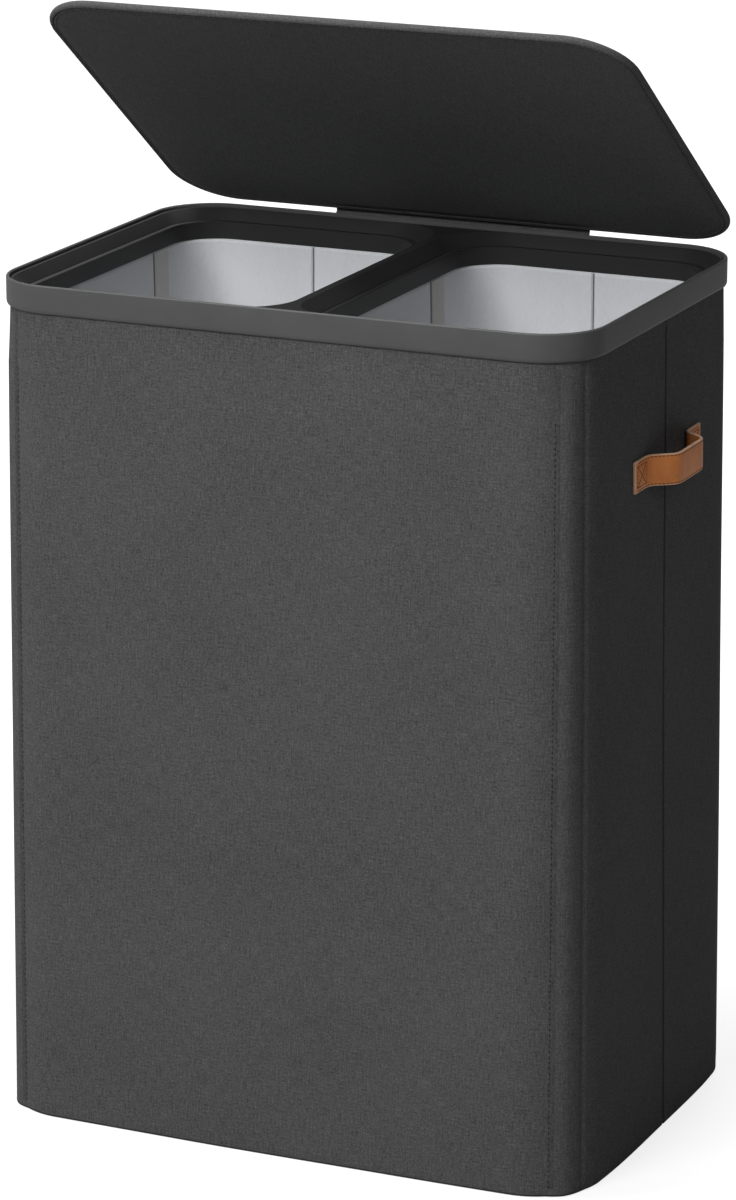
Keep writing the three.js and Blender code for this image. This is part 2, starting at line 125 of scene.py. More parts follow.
# Stitches. The form holds (place along the stitch as a share of its length, share of its full width)
STITCH_FORM = ((-0.5, 0.0), (-0.3, 0.85), (0.0, 1.0), (0.3, 0.85), (0.5, 0.0))
STITCH_SIDES = 6
STITCH_PITCH = 5.0
STITCH_LENGTH = 3.2
THREAD_WIDTH = 1.15

# Liner bags
BAG_STEPS = (20, 30, 10)
BAG_OUTER_INSET = 0.4
BAG_INNER_INSET = 1.5
BAG_NARROWING = 6.0
BAG_FOOT = 14.0
BAG_FOOT_TURN = 0.6
BAG_FOOT_RADIUS = 36.0
BAG_TOP_RADIUS = 45.0
BAG_HEM = 8.0
BAG_FLOOR_ZONE = 20.0
BAG_ROW_STEP = 24.0
BAG_OUTER_RISES = (0.0, 2.0, 6.0, 14.0)
BAG_INNER_DROPS = (0.0, 4.0, 12.0)
BAG_INNER_SPAN = (30.0, 22.0)
BAG_INNER_RISES = (15.0, 8.0, 4.0, 2.2)
BAG_STRIP_ENDS = (10.0, 1.0)
BAG_SAG = 1.6
BAG_SAG_EVEN = 0.6
BAG_SAG_WAVES = 0.9
BAG_SAG_FULLNESS = 0.7
BAG_WAVE_SCALE = (2.1, 2.4)
BAG_WAVE_RISE = 1.4
BAG_SWELL_LIMIT = 1.0
BAG_TAPE_PLACES = {"liner_bag_left": 95.0, "liner_bag_right": 85.0}
BAG_TAPE_SPREAD = (0.006, 0.012, 0.024)
BAG_TAPE_WELT = 1.0
BAG_TAPE_EDGES = np.linspace(1.2, 28.0, 4)
BAG_TAPE_LIFTS = (-0.25, -0.85)
BAG_SEAM_PLACES = {"liner_bag_left": 4.0, "liner_bag_right": 0.5}
BAG_SEAM_SPREAD = (0.008, 0.016, 0.03, 0.05)
BAG_SEAM_WELT = 1.1
BAG_SEAM_WANDER = 1.5
BAG_SEAM_TURNS = 1.6
BAG_WELT_WIDTH = 0.9
BAG_FOLD_DEPTH = 1.4
BAG_FOLD_PLACE = 2.4
BAG_FOLD_WIDTH = 1.3
# Painted shade: grey lines along the bag's tape seams and centre seam, where the seams' shadow falls
BAG_SHADOW_HALF_WIDTH = 1.0
BAG_CENTRE_SHADOW_HALF_WIDTH = 0.55
BAG_SHADOW_LIFTS = (0.6, 0.1)

# Lid. The profiles hold (inset, height above the underside); two of them start from a seam or an edge
LID_STEPS = (40, 28, 14)
LID_INSET = 3.8
LID_RADIUS = 57.0
LID_THICKNESS = 7.0
LID_SEAT = 0.5
LID_ROUNDING = 3.3
LID_ROUNDING_ANGLES = (15, 30, 45, 60, 75)
LID_BULGE = 0.1
LID_UNDERSIDE = ((26.0, 0.6), (14.0, 0.45), (7.6, 0.5))
LID_BINDING = 6.3
LID_BINDING_STEP = ((0.5, 0.9), (-0.1, 0.05))
LID_SEAM_INSET = 4.2
LID_SEAM_GROOVE = ((1.7, 0.0), (0.9, 0.45), (0.0, 1.35), (-0.9, 0.45), (-1.5, 0.0))
LID_STITCH_DEPTH = 0.8
LID_STITCH_PITCH = 5.0
LID_STITCH_LENGTH = 3.6
LID_THREAD_WIDTH = 1.2
HINGE_BEHIND_RIM = 3.0
HINGE_BELOW_TOP = 13.0
LID_OPEN = 36.1

# Handles
HANDLE_LENGTH = 157.0
HANDLE_FLAP = 29.0
HANDLE_RISE = 22.0
HANDLE_BOW = 22.0
HANDLE_RISE_STEPS = 15
HANDLE_STEPS = 97
HANDLE_SOFTENING = 8
HANDLE_HEIGHT = 28.0
HANDLE_CENTRE = 619.0
HANDLE_THICKNESS = 3.0
HANDLE_ROUNDING = 0.9
HANDLE_ROUNDING_ANGLES = (0, 30, 60, 90)
HANDLE_EDGE_FACES = 0.75
HANDLE_END_FACES = 0.1
HANDLE_SEAM_INSET = 1.8
HANDLE_SEAM_END = 2.5
HANDLE_SEAM_PITCH = 3.6
HANDLE_SEAM_THREAD = 0.85
HANDLE_BOX_INSET = (4.0, 4.6)
HANDLE_BOX_PITCH = 3.2
HANDLE_BOX_THREAD = 0.9
HANDLE_STITCH_LENGTH = 3.4
WALL_GAP = 0.3

# Hinge strap. Its places on the lid, and where it starts and ends to bend, are (Y, Z) from the hinge
STRAP_WIDTH = 252.0
STRAP_THICKNESS = 1.1
STRAP_COLUMNS = 43
STRAP_PATH_STEPS = 4
STRAP_ON_RIM = (0.6, 5.0)
STRAP_TO_FOLD = ((0.0, -3.4), (0.8, 0.2))
STRAP_ON_LID = ((-1.8, 3.2), (-1.8, 9.0), (-1.8, 13.6), (-2.6, 15.6), (-4.2, 16.5), (-6.2, 16.8))

# Shading of the moulded pieces; the distance is in metres
WELD_DISTANCE = 0.00001
SHARP_ANGLE = 32.0

# Floor, world and light; the distances of the glow and the lamps are in metres
FLOOR_REACH = 9000.0
FLOOR_HEIGHT = -0.3
FLOOR_GREY = 0.27
FLOOR_MIRRORED = 0.35
FLOOR_GLOW = {"From Min": 0.35, "From Max": 1.0, "To Min": 0.8, "To Max": 1.0}
WORLD_SOFTNESS = 0.095
LAMPS = (
    ("key", (-1.0, -4.3, 3.95), (0, 0, 0.6), 2.6, 250.0),
    ("back", (-0.7, 3.6, 4.4), (0, 0, 0.5), 2.0, 118.0),
    ("top", (-1.5, -0.5, 4.5), (0, 0, 0.6), 1.6, 108.0),
    ("fill", (3.3, -2.8, 3.4), (0, 0, 0.5), 2.4, 23.0),
)


def box_mm(node):
    low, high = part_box(node)
    return np.array(low) / MM, np.array(high) / MM


rim_low, rim_high = box_mm("rim_frame")
sleeve_low, sleeve_high = box_mm("fabric_sleeve")
RIM_SIZE = rim_high - rim_low
RIM_TOP = rim_high[2]
RIM_BOTTOM = rim_low[2]
SLEEVE_TOP = sleeve_high[2]
HINGE_Y = rim_high[1] + HINGE_BEHIND_RIM
HINGE_Z = RIM_TOP - HINGE_BELOW_TOP


# Camera

def make_camera():
    camera = bpy.data.cameras.new("camera")
    camera.sensor_fit = "VERTICAL"
    camera.sensor_height = SENSOR
    camera.lens = SENSOR * FOCAL_PIXELS / PICTURE_HEIGHT_PIXELS
    camera.clip_end = 50.0
    holder = bpy.data.objects.new("camera", camera)
    bpy.context.scene.collection.objects.link(holder)
    a, e = math.radians(CAMERA_AZIMUTH), math.radians(CAMERA_ELEVATION)
    back = Vector((math.sin(a) * math.cos(e), -math.cos(a) * math.cos(e), math.sin(e)))
    aim = Vector(CAMERA_AIM) * MM
    holder.location = aim + back * CAMERA_DISTANCE * MM
    holder.rotation_euler = back.to_track_quat("Z", "Y").to_euler()
    bpy.context.scene.camera = holder


make_camera()


# Mesh helpers

def make_object(name, vertices, faces, smooth=True, uvs=None):
    """An object from vertices in millimetres; uvs holds one (u, v) in metres for each vertex."""
    mesh = bpy.data.meshes.new(name)
    mesh.from_pydata([tuple(v) for v in np.asarray(vertices, float) * MM], [], faces)
    mesh.validate()
    if smooth:
        mesh.polygons.foreach_set("use_smooth", [True] * len(mesh.polygons))
    if uvs is not None:
        layer = mesh.uv_layers.new(name="cloth")
        for loop in mesh.loops:
            layer.data[loop.index].uv = uvs[loop.vertex_index]
    mesh.update()
    piece = bpy.data.objects.new(name, mesh)
    bpy.context.scene.collection.objects.link(piece)
    return piece


def turn_outwards(piece):
    """Makes the faces of each closed part of a piece look outwards."""
    work = bmesh.new()
    work.from_mesh(piece.data)
    bmesh.ops.recalc_face_normals(work, faces=work.faces)
    work.to_mesh(piece.data)
    work.free()


def band_faces(rows, count, closed_rows=False):
    """Quads between rings of equally many points; closed_rows joins the last ring to the first."""
    faces = []
    for r in range(rows if closed_rows else rows - 1):
        low, high = r * count, ((r + 1) % rows) * count
        for k in range(count):
            n = (k + 1) % count
            faces.append((low + k, low + n, high + n, high + k))
    return faces


def loft_faces(rings):
    """Faces of a closed form through rings of equally many points, with both its ends."""
    count = len(rings[0])
    last = (len(rings) - 1) * count
    ends = [tuple(range(count - 1, -1, -1)), tuple(range(last, last + count))]
    return band_faces(len(rings), count) + ends


def finish_piece(piece, material, body, replaces=()):
    piece.data.materials.append(material)
    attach(piece, body)
    if replaces:
        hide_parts(*replaces)


def refined(start, end, steps, centres=(), spread=()):
    """Even values between two ends, with closer ones round each centre."""
    values = {round(v, 5) for v in np.linspace(start, end, steps + 1)}
    for centre in centres:
        values = {v for v in values if abs(v - centre) > max(spread)}
        values |= {round(centre + s, 5) for s in spread} | {round(centre - s, 5) for s in spread}
        values.add(round(centre, 5))
    return sorted(v for v in values if start <= v <= end)


def rounded_stations(front_steps, side_steps, arc_steps, front=((), ()), side=((), ()), arc=((), ())):
    """Places round a rounded rectangle: (share of half width, share of half depth, normal x, normal y).

    They run counterclockwise from the right wall's rear end. Each pair holds the centres that get
    closer steps, and how far those steps lie from them.
    """
    places = []

    def add_arc(sx, sy, start):
        for angle in refined(0.0, 90.0, arc_steps, *arc):
            a = math.radians(start + angle)
            places.append((sx, sy, math.cos(a), math.sin(a)))

    def add_wall(values, place):
        for v in values[1:-1]:
            places.append(place(v))

    along_front = refined(-1.0, 1.0, front_steps, *front)
    along_side = refined(-1.0, 1.0, side_steps, *side)
    add_arc(1, 1, 0)
    add_wall(along_front, lambda v: (-v, 1, 0, 1))
    add_arc(-1, 1, 90)
    add_wall(along_side, lambda v: (-1, -v, -1, 0))
    add_arc(-1, -1, 180)
    add_wall(along_front, lambda v: (v, -1, 0, -1))
    add_arc(1, -1, 270)
    add_wall(along_side, lambda v: (1, v, 1, 0))
    return np.array(places, float)


def ring_points(stations, width, depth, radius, height, offset=0.0, centre_x=0.0):
    """The stations at one height, pushed out by offset, which is one value or one for each station."""
    reach = radius + np.asarray(offset)
    x = centre_x + stations[:, 0] * (width / 2 - radius) + stations[:, 2] * reach
    y = stations[:, 1] * (depth / 2 - radius) + stations[:, 3] * reach
    return np.stack([x, y, np.full(len(stations), float(height))], -1)


def arc_lengths(ring):
    """Distance along a ring from its first point."""
    steps = np.linalg.norm(np.diff(ring, axis=0), axis=1)
    return np.concatenate([[0.0], np.cumsum(steps)])


def make_stitches(name, places, material, body, width=THREAD_WIDTH, length=STITCH_LENGTH):
    """Short threads lying on a surface. places holds (middle, direction, surface normal) for each."""
    vertices, faces = [], []
    sides, rings = STITCH_SIDES, len(STITCH_FORM) - 2
    for middle, along, out in places:
        along, out = np.asarray(along, float), np.asarray(out, float)
        along = along / np.linalg.norm(along)
        across = np.cross(along, out)
        across /= np.linalg.norm(across)
        out = np.cross(across, along)
        first = len(vertices)
        for share, fat in STITCH_FORM:
            core = np.asarray(middle) + along * share * length + out * width * (fat - 1) * 0.5
            if fat == 0.0:
                vertices.append(core)
                continue
            for k in range(sides):
                a = 2 * math.pi * k / sides
                vertices.append(core + width * fat / 2 * (across * math.cos(a) + out * math.sin(a)))
        last = len(vertices) - 1
        for k in range(sides):
            n = (k + 1) % sides
            faces.append((first, first + 1 + n, first + 1 + k))
            for ring in range(rings - 1):
                low, high = first + 1 + ring * sides, first + 1 + (ring + 1) * sides
                faces.append((low + k, low + n, high + n, high + k))
            faces.append((last, last - sides + k, last - sides + n))
    piece = make_object(name, vertices, faces)
    turn_outwards(piece)
    finish_piece(piece, material, body)


def make_strips(name, strips, material):
    """One object from strips of cloth, each given by its rings of points."""
    vertices, faces = [], []
    for rings in strips:
        first = len(vertices)
        vertices.extend(np.concatenate(rings))
        faces += [tuple(first + i for i in face) for face in loft_faces(rings)]
    piece = make_object(name, vertices, faces, smooth=False)
    turn_outwards(piece)
    finish_piece(piece, material, "hamper")


def spaced(points, pitch):
    """(point, direction) at even distances along a polyline."""
    points = np.asarray(points, float)
    lengths = arc_lengths(points)
    found = []
    for s in np.arange(pitch / 2, lengths[-1], pitch):
        k = min(int(np.searchsorted(lengths, s)) - 1, len(points) - 2)
        t = (s - lengths[k]) / (lengths[k + 1] - lengths[k])
        found.append((points[k] * (1 - t) + points[k + 1] * t, points[k + 1] - points[k]))
    return found


# Materials. Their lengths are in metres, as Blender's texture coordinates are

YARN_WIDTH = 0.0011
SLUB_LENGTH = 0.014
FIBRES_PER_METRE = (500.0, 500.0, 170.0)
CREASES_PER_METRE = (16.0, 16.0, 3.5)


def new_material(name):
    material = bpy.data.materials.new(name)
    material.use_nodes = True
    tree = material.node_tree
    shader = tree.nodes["Principled BSDF"]
    return material, tree, shader


def add_node(tree, kind, **values):
    node = tree.nodes.new(kind)
    for key, value in values.items():
        setattr(node, key, value)
    return node


def noise_node(tree, vector, scale, detail, roughness):
    node = add_node(tree, "ShaderNodeTexNoise")
    node.inputs["Scale"].default_value = scale
    node.inputs["Detail"].default_value = detail
    node.inputs["Roughness"].default_value = roughness
    tree.links.new(vector, node.inputs["Vector"])
    return node.outputs["Fac"]


def stretched(tree, vector, scale):
    node = add_node(tree, "ShaderNodeMapping")
    node.inputs["Scale"].default_value = scale
    tree.links.new(vector, node.inputs["Vector"])
    return node.outputs["Vector"]


def blend_values(tree, a, b, share):
    node = add_node(tree, "ShaderNodeMix", data_type="FLOAT")
    node.inputs[0].default_value = share
    tree.links.new(a, node.inputs[2])
    tree.links.new(b, node.inputs[3])
    return node.outputs[0]


def ramp(tree, shader, value, stops):
    """Colours the shader by a ramp with (place, (r, g, b)) stops."""
    node = add_node(tree, "ShaderNodeValToRGB")
    while len(node.color_ramp.elements) < len(stops):
        node.color_ramp.elements.new(0.5)
    for element, (place, colour) in zip(node.color_ramp.elements, stops):
        element.position = place
        element.color = (*colour, 1.0)
    tree.links.new(value, node.inputs["Fac"])
    tree.links.new(node.outputs["Color"], shader.inputs["Base Color"])


def bump(tree, shader, height, strength, distance):
    node = add_node(tree, "ShaderNodeBump")
    node.inputs["Strength"].default_value = strength
    node.inputs["Distance"].default_value = distance
    tree.links.new(height, node.inputs["Height"])
    tree.links.new(node.outputs["Normal"], shader.inputs["Normal"])


def tint(colour, share):
    return tuple(min(1.0, c * share) for c in colour)


def cloth_material(name, colour, contrast, use_uv):
    """Plain woven cloth: thick and thin yarns both ways, over a soft mottle."""
    material, tree, shader = new_material(name)
    coordinates = add_node(tree, "ShaderNodeTexCoord")
    place = coordinates.outputs["UV" if use_uv else "Object"]
    along, across = 1 / SLUB_LENGTH, 1 / YARN_WIDTH
    weft = noise_node(
        tree, stretched(tree, place, (along, across, along)), scale=1.0, detail=3.0, roughness=0.55)
    warp = noise_node(
        tree, stretched(tree, place, (across, along, across)), scale=1.0, detail=3.0, roughness=0.55)
    mottle = noise_node(tree, place, scale=9.0, detail=3.0, roughness=0.5)
    speck = noise_node(tree, place, scale=520.0, detail=2.0, roughness=0.75)
    yarns = blend_values(tree, weft, warp, share=0.55)
    heather = blend_values(tree, yarns, speck, share=0.5)
    shade = blend_values(tree, heather, mottle, share=0.06)
    dark, pale = tint(colour, 1 - contrast), tint(colour, 1 + contrast * 1.25)
    stops = [(0.34, dark), (0.5, colour), (0.66, pale)]
    ramp(tree, shader, shade, stops)
    shader.inputs["Roughness"].default_value = 0.92
    shader.inputs["Specular IOR Level"].default_value = 0.15
    shader.inputs["Sheen Weight"].default_value = 0.02
    shader.inputs["Sheen Roughness"].default_value = 0.5
    bump(tree, shader, heather, strength=0.6, distance=0.00022)
    return material


def plastic_material(name, colour, roughness):
    """Moulded plastic with a fine spark-eroded grain and slight handling marks."""
    material, tree, shader = new_material(name)
    place = add_node(tree, "ShaderNodeTexCoord").outputs["Object"]
    fine = noise_node(tree, place, scale=900.0, detail=3.0, roughness=0.6)
    broad = noise_node(tree, place, scale=14.0, detail=4.0, roughness=0.6)
    ramp(tree, shader, broad, [(0.3, tint(colour, 0.94)), (0.7, tint(colour, 1.06))])
    spread = add_node(tree, "ShaderNodeMapRange")
    spread.inputs["To Min"].default_value = roughness - 0.05
    spread.inputs["To Max"].default_value = roughness + 0.07
    tree.links.new(broad, spread.inputs["Value"])
    tree.links.new(spread.outputs["Result"], shader.inputs["Roughness"])
    shader.inputs["Specular IOR Level"].default_value = 0.2
    bump(tree, shader, fine, strength=0.25, distance=0.00008)
    return material


def leather_material(name, colour, roughness):
    """Smooth leather: fine pebble grain, pull-up mottle and a soft gloss."""
    material, tree, shader = new_material(name)
    place = add_node(tree, "ShaderNodeTexCoord").outputs["Object"]
    cells = add_node(tree, "ShaderNodeTexVoronoi", feature="F1")
    cells.inputs["Scale"].default_value = 900.0
    tree.links.new(place, cells.inputs["Vector"])
    mottle = noise_node(tree, place, scale=60.0, detail=5.0, roughness=0.6)
    stops = [(0.3, tint(colour, 0.84)), (0.5, colour), (0.72, tint(colour, 1.14))]
    ramp(tree, shader, mottle, stops)
    shader.inputs["Roughness"].default_value = roughness
    shader.inputs["Specular IOR Level"].default_value = 0.3
    bump(tree, shader, cells.outputs["Distance"], strength=0.35, distance=0.00012)
    return material


def lining_material(name, colour):
    """Nonwoven lining: short random fibres pressed flat, with faint creases."""
    material, tree, shader = new_material(name)
    place = add_node(tree, "ShaderNodeTexCoord").outputs["Object"]
    fibre = noise_node(
        tree, stretched(tree, place, FIBRES_PER_METRE), scale=1.0, detail=4.0, roughness=0.7)
    crease = noise_node(
        tree, stretched(tree, place, CREASES_PER_METRE), scale=1.0, detail=3.0, roughness=0.5)
    shade = blend_values(tree, fibre, crease, share=0.45)
    stops = [(0.32, tint(colour, 0.93)), (0.5, colour), (0.7, tint(colour, 1.05))]
    ramp(tree, shader, shade, stops)
    shader.inputs["Roughness"].default_value = 0.85
    shader.inputs["Specular IOR Level"].default_value = 0.3
    bump(tree, shader, shade, strength=0.4, distance=0.0004)
    return material


def board_material(name, colour):
    """Pressed fibreboard."""
    material, tree, shader = new_material(name)
    place = add_node(tree, "ShaderNodeTexCoord").outputs["Object"]
    flecks = noise_node(tree, place, scale=320.0, detail=5.0, roughness=0.75)
    ramp(tree, shader, flecks, [(0.35, tint(colour, 0.8)), (0.65, tint(colour, 1.2))])
    shader.inputs["Roughness"].default_value = 0.88
    bump(tree, shader, flecks, strength=0.3, distance=0.0002)
    return material


def thread_material(name, colour):
    """Twisted sewing thread."""
    material, tree, shader = new_material(name)
    place = add_node(tree, "ShaderNodeTexCoord").outputs["Object"]
    twist = noise_node(tree, place, scale=1800.0, detail=2.0, roughness=0.5)
    ramp(tree, shader, twist, [(0.3, tint(colour, 0.8)), (0.7, tint(colour, 1.2))])
    shader.inputs["Roughness"].default_value = 0.7
    bump(tree, shader, twist, strength=0.4, distance=0.0001)
    return material


CHARCOAL = (0.08, 0.08, 0.081)
LID_GREY = (0.088, 0.088, 0.089)
# Painted shade: a darker copy of the charcoal cloth, for the bands beside the board seams
SEAM_SHADE_GREY = (0.062, 0.062, 0.063)
sleeve_cloth = cloth_material("charcoal_cloth", CHARCOAL, contrast=0.6, use_uv=True)
lid_cloth = cloth_material("lid_cloth", LID_GREY, contrast=0.5, use_uv=True)
seam_shade_cloth = cloth_material("seam_shade_cloth", SEAM_SHADE_GREY, contrast=0.5, use_uv=False)
strap_cloth = cloth_material("strap_cloth", LID_GREY, contrast=0.4, use_uv=False)
rim_plastic = plastic_material("rim_plastic", (0.09, 0.09, 0.091), roughness=0.5)
tray_plastic = plastic_material("tray_plastic", (0.026, 0.026, 0.027), roughness=0.5)
lining_cloth = lining_material("lining_cloth", (0.68, 0.692, 0.715))
tape_cloth = lining_material("tape_cloth", (0.6, 0.585, 0.565))
fibreboard = board_material("fibreboard", (0.27, 0.25, 0.22))
tan_leather = leather_material("tan_leather", (0.74, 0.26, 0.078), roughness=0.5)
leather_edge = leather_material("leather_edge", (0.9, 0.56, 0.38), roughness=0.65)
# Black for the stitches, and also for the painted shade in the side folds and round the foot
dark_thread_and_shade = thread_material("dark_thread_and_shade", (0.014, 0.014, 0.015))
# Painted shade: the grey of the lines along the bag seams
seam_shadow_grey = thread_material("seam_shadow_grey", (0.15, 0.15, 0.15))
tan_thread = thread_material("tan_thread", (0.1, 0.03, 0.011))


# Sleeve

def sleeve_size(height):
    share = height / SLEEVE_TOP
    floor = sleeve_high - sleeve_low
    width = floor[0] + (RIM_SIZE[0] - 2 * SLEEVE_INSET_TOP - floor[0]) * share
    depth = floor[1] + (RIM_SIZE[1] - 2 * SLEEVE_INSET_TOP - floor[1]) * share
    radius = FLOOR_RADIUS + (RIM_RADIUS - SLEEVE_INSET_TOP - FLOOR_RADIUS) * share
    return width, depth, radius


def sleeve_stations():
    """Places round the sleeve, closer together at the folds and at the stitch lines."""
    half_side = (sleeve_high[1] - sleeve_low[1]) / 2 - FLOOR_RADIUS
    fold = FOLD_BEHIND_MIDDLE / half_side
    return rounded_stations(
        *SLEEVE_STEPS, side=((-fold, fold), FOLD_SPREAD), arc=(STITCH_ANGLES, SEAM_SPREAD))


def hump(distance, width):
    """A smooth bell of height 1."""
    return np.exp(-(distance / width) ** 2)


def flat_walls(stations):
    """Which stations lie on the side walls, and which on the front and back."""
    return np.abs(stations[:, 2]) > ALMOST_ONE, np.abs(stations[:, 3]) > ALMOST_ONE


def sleeve_offset(stations, size, height):
    """How far the cloth stands in or out of the even outline at one height."""
    _, depth, radius = size
    turned_x, turned_y = np.abs(stations[:, 2]), np.abs(stations[:, 3])
    # Degrees round the corner from the front or back wall
    angle = np.degrees(np.arctan2(turned_x, turned_y))
    on_arc = (turned_x > ALMOST_ZERO) & (turned_y > ALMOST_ZERO)
    on_side, on_front = flat_walls(stations)
    total = np.zeros(len(stations))
    first, second = STITCH_ANGLES
    reach = np.where(angle < BULGE_ANGLE, BULGE_ANGLE - first, second - BULGE_ANGLE)
    tent = 1 + BULGE_SOFTNESS - np.hypot((angle - BULGE_ANGLE) / reach, BULGE_SOFTNESS)
    full = min(1.0, (RIM_BOTTOM - height) / BULGE_FADE) if height < RIM_BOTTOM else 0.0
    total += np.where(on_arc, full * CORNER_BULGE * np.clip(tent, 0, 1), 0)
    sewn = min(1.0, height / SEAM_FADE)
    ridge = np.radians(angle - second) * radius - RIDGE_REACH
    total += np.where(on_arc, sewn * full * RIDGE_HEIGHT * hump(ridge, RIDGE_WIDTH), 0)
    for stitch, groove, spread in zip(STITCH_ANGLES, STITCH_GROOVES, STITCH_GROOVE_WIDTHS):
        distance = np.radians(angle - stitch) * radius
        pucker = 1 + PUCKER * noise.noise(Vector((stitch, 0.0, height / PUCKER_LENGTH)))
        total -= np.where(on_arc, sewn * groove * pucker * hump(distance, spread), 0)
    low = max(0.0, 1 - height / BOW_TOP)
    total += np.where(on_side, SIDE_BOW * low * (1 - stations[:, 1] ** 4), 0)
    total += np.where(on_front, FRONT_BOW * low * (1 - stations[:, 0] ** 2), 0)
    fold = stations[:, 1] * (depth / 2 - radius) - FOLD_BEHIND_MIDDLE
    total -= np.where(on_side, FOLD_GROOVE * hump(fold, FOLD_GROOVE_WIDTH), 0)
    total += np.where(on_side, FOLD_RIDGE * hump(fold - FOLD_RIDGE_PLACE, FOLD_RIDGE_WIDTH), 0)
    places = stations[:, :2] * RIPPLE_SCALE + stations[:, 2:] * RIPPLE_TURN
    ripple = [noise.noise(Vector((x, y, height / RIPPLE_LENGTH))) for x, y in places]
    return total + RIPPLE * np.array(ripple)


def sleeve_ring(stations, height, lift=0.0):
    """The sleeve's surface at one height, or a line that stands lift out of it."""
    size = sleeve_size(height)
    return ring_points(stations, *size, height, lift + sleeve_offset(stations, size, height))


def sleeve_strip(places, lift):
    """The rings of a strip down the sleeve, with its faces lift outside and inside the surface."""
    rings = []
    for stations, height in places:
        outer, inner = sleeve_ring(stations, height, lift), sleeve_ring(stations, height, -lift)
        rings.append(np.concatenate([outer, inner[::-1]]))
    return rings


def make_sleeve():
    """Up the outside, over the upper edge and down the inside."""
    stations = sleeve_stations()
    edge = SLEEVE_TOP - SLEEVE_EDGE
    rows = [sleeve_ring(stations, height, inset) for inset, height in FOOT_PROFILE]
    for height in [*np.arange(ROW_LOWEST, SLEEVE_TOP - 2, ROW_STEP), edge]:
        size = sleeve_size(height)
        offset = sleeve_offset(stations, size, height)
        if height > RIM_BOTTOM - UNDER_RIM:
            offset = np.minimum(offset, 0.0)
        rows.append(ring_points(stations, *size, height, offset))
    around = arc_lengths(rows[len(rows) // 2])
    for height in (edge, *(SLEEVE_TOP * share for share in INNER_ROWS), SLEEVE_FLOOR):
        rows.append(ring_points(stations, *sleeve_size(height), height, -SLEEVE_THICKNESS))
    uvs = [(place * MM, row[0][2] * MM) for row in rows for place in around]
    piece = make_object("sleeve_cloth", np.concatenate(rows), loft_faces(rows), uvs=uvs)
    finish_piece(piece, sleeve_cloth, "hamper", ["fabric_sleeve"])


def make_fold_shadow_strips():
    """A black strip in the bottom of the fold on both side walls: painted shade for the shadow in the
    groove.
    """
    strips = []
    for side in (-1, 1):
        places = []
        for height in np.arange(FOLD_SHADOW_LOWEST, SLEEVE_TOP - FOLD_SHADOW_BELOW_TOP, ROW_STEP):
            _, depth, radius = sleeve_size(height)
            shares = (FOLD_BEHIND_MIDDLE + FOLD_SHADOW_EDGES) / (depth / 2 - radius)
            places.append((np.array([(side, share, side, 0) for share in shares]), height))
        strips.append(sleeve_strip(places, FOLD_SHADOW_LIFT))
    make_strips("fold_seams", strips, dark_thread_and_shade)


def make_foot_shadow_line():
    """A thin black band round the foot: painted contact shadow where the wall meets the floor."""
    stations = sleeve_stations()
    corners = [sleeve_ring(stations, height, inset) for inset, height in FOOT_SHADOW_PROFILE]
    rings = list(zip(*corners))
    faces = band_faces(len(rings), len(corners), closed_rows=True)
    piece = make_object("foot_shadow_line", np.concatenate(rings), faces, smooth=False)
    turn_outwards(piece)
    finish_piece(piece, dark_thread_and_shade, "hamper")


def corner_stations(degrees):
    """For each of the four corners, its stations at these angles from the front or back wall."""
    angles = np.radians(degrees)
    return [
        np.array([(sx, sy, sx * math.sin(a), sy * math.cos(a)) for a in angles])
        for sx in (-1, 1) for sy in (-1, 1)]


def make_seam_shade_bands():
    """A band of darker cloth on the corner's side of each board seam: painted shade for the dip in
    light beside the seam.
    """
    heights = np.arange(ROW_LOWEST, RIM_BOTTOM, ROW_STEP)
    strips = [
        sleeve_strip([(corner, height) for height in heights], SEAM_SHADE_LIFT)
        for corner in corner_stations(STITCH_ANGLES[0] + np.array(SEAM_SHADE_ANGLES))]
    make_strips("seam_shade_bands", strips, seam_shade_cloth)


def make_sleeve_stitches():
    """Thread down the seams at the ends of the front and back boards; it starts below the rim."""
    places = []
    for line in corner_stations(STITCH_ANGLES[:1]):
        normal = (line[0][2], line[0][3], 0.0)
        for height in np.arange(STITCH_LOWEST, RIM_BOTTOM - STITCH_START, STITCH_PITCH):
            places.append((sleeve_ring(line, height, STITCH_LIFT)[0], (0, 0, 1), normal))
    make_stitches("sleeve_stitches", places, dark_thread_and_shade, "hamper")


make_sleeve()
make_fold_shadow_strips()
make_foot_shadow_line()
make_seam_shade_bands()
make_sleeve_stitches()


# Liner bags

def bag_shape(node):
    """Middle, size, lowest and highest point of the bag's solid."""
    low, high = box_mm(node)
    return (low + high) / 2, high - low, low[2], high[2]


def sag_share(shape, height):
    """Share of the wall that can sag: 0 at the bag's floor, 1 at its hem."""
    low, high = shape[2:]
    return (height - low) / (high - BAG_HEM - low)


def bag_sag(stations, share, seed):
    """Slack cloth: long vertical folds that stand in from the even wall, most at mid height."""
    slack = math.sin(math.pi * min(max(share, 0.0), 1.0)) ** BAG_SAG_FULLNESS
    places = stations[:, :2] * BAG_WAVE_SCALE + stations[:, 2:]
    waves = [noise.noise(Vector((x + seed, y, share * BAG_WAVE_RISE))) for x, y in places]
    return -BAG_SAG * slack * (BAG_SAG_EVEN + BAG_SAG_WAVES * np.abs(np.array(waves)))


